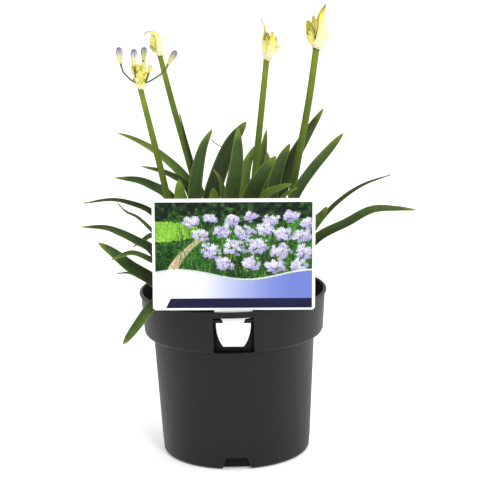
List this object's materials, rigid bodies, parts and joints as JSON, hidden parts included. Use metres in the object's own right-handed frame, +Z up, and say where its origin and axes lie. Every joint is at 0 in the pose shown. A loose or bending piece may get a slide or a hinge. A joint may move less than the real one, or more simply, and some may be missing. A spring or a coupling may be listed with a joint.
{
  "type": "potted agapanthus plant",
  "caption": "Agapanthus with arching strap leaves and flower scapes from closed spathe to open umbel, in a round black nursery pot with a picture card hooked in its label pocket",
  "frame": {"origin": "centre of the pot's flat underside, at the surface it stands on", "axes": "+Z up along the pot's axis, -Y towards the picture card, +X to the right of a viewer who faces the card"},
  "size_m": [0.2892, 0.2189, 0.3926],
  "materials": {
    "pot": "satin",
    "soil": "rough",
    "card": "printed, semi-gloss",
    "leaf": "satin",
    "scape": "satin",
    "spathe": "matte",
    "bud": "satin"
  },
  "bodies": {
    "root": {"pot": "pot", "potting_mix": "soil", "label_card": "card", "leaf_01": "leaf", "leaf_02": "leaf", "leaf_03": "leaf", "leaf_04": "leaf", "leaf_05": "leaf", "leaf_06": "leaf", "leaf_07": "leaf", "leaf_08": "leaf", "leaf_09": "leaf", "leaf_10": "leaf", "leaf_11": "leaf", "leaf_12": "leaf", "leaf_13": "leaf", "leaf_14": "leaf", "leaf_15": "leaf", "leaf_16": "leaf", "leaf_17": "leaf", "leaf_18": "leaf", "leaf_19": "leaf", "leaf_20": "leaf", "leaf_21": "leaf", "leaf_22": "leaf", "leaf_23": "leaf", "leaf_24": "leaf", "leaf_25": "leaf", "leaf_26": "leaf", "leaf_27": "leaf", "leaf_28": "leaf", "leaf_29": "leaf", "leaf_30": "leaf", "leaf_31": "leaf", "leaf_32": "leaf", "leaf_33": "leaf", "leaf_34": "leaf", "leaf_35": "leaf", "leaf_36": "leaf", "scape_1": "scape", "scape_2": "scape", "scape_3": "scape", "scape_4": "scape", "umbel_1": "bud", "spathe_2": "spathe", "spathe_3": "spathe", "spathe_4": "spathe", "buds_2": "bud", "buds_3": "bud", "buds_4": "bud"}
  },
  "joints": []
}
